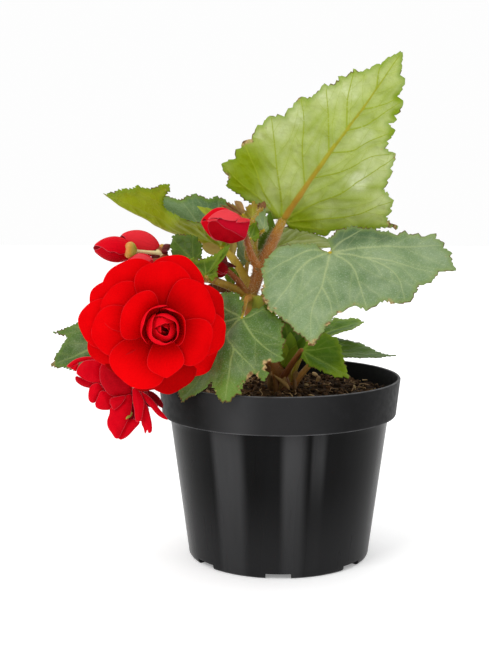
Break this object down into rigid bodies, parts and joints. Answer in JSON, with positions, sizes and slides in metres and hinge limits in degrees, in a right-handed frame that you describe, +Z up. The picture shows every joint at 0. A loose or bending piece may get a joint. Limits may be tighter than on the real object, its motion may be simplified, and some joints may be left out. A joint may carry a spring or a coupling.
{
  "type": "potted begonia",
  "caption": "Leaning double begonia with toothed leaves, a round layered red bloom, a hanging bloom and buds, in a tapered black nursery pot of soil.",
  "frame": {"origin": "centre of the pot's flat underside", "axes": "+Z up along the pot's axis; the main bloom faces -Y; the large upright leaf leans to +X"},
  "size_m": [0.2137, 0.1607, 0.2639],
  "materials": {
    "pot_plastic": "near-black moulded plastic, glossy body with broad upright sheens, satin collar",
    "potting_soil": "loose dark brown peat-like soil with crumbs and fibres",
    "stem": "fleshy pinkish-brown to olive stems with short pale hairs",
    "leaf_underside": "light yellow-green underside with raised veins, blue-green upper side",
    "leaf_grey_green": "downy grey-green leaf with pale yellow-green veins and brown dead margins",
    "leaf_green": "mid-green leaf with yellow-green veins and margins",
    "leaf_bright": "bright green young leaf",
    "leaf_young": "yellow-green unfolding leaf",
    "petal_red": "satin bright red petals with thin pale edges",
    "petal_crimson": "satin crimson petals, paler on their backs"
  },
  "bodies": {
    "root": {"pot": "pot_plastic", "soil": "potting_soil", "stems": "stem", "leaf_upright": "leaf_underside", "leaf_right": "leaf_grey_green", "leaf_front": "leaf_green", "leaf_upper_left": "leaf_underside", "leaf_left": "leaf_green", "leaf_low_right": "leaf_bright", "leaf_right_low": "leaf_green", "leaf_right_mid": "leaf_bright", "leaf_small_mid": "leaf_bright", "leaf_fold": "leaf_bright", "leaf_behind": "leaf_green", "leaf_rear": "leaf_grey_green", "leaf_back_low": "leaf_green", "leaf_mid_back": "leaf_grey_green", "leaf_mid_low": "leaf_bright", "leaf_low_mid": "leaf_green", "young_leaf_1": "leaf_young", "young_leaf_2": "leaf_young", "young_leaf_3": "leaf_bright", "young_leaf_4": "leaf_grey_green", "bloom_main": "petal_red", "bloom_side": "petal_crimson", "bud_top": "petal_crimson", "bud_left": "petal_crimson", "bud_mid": "petal_crimson", "bud_small": "petal_crimson", "bud_low": "petal_crimson"}
  },
  "joints": []
}
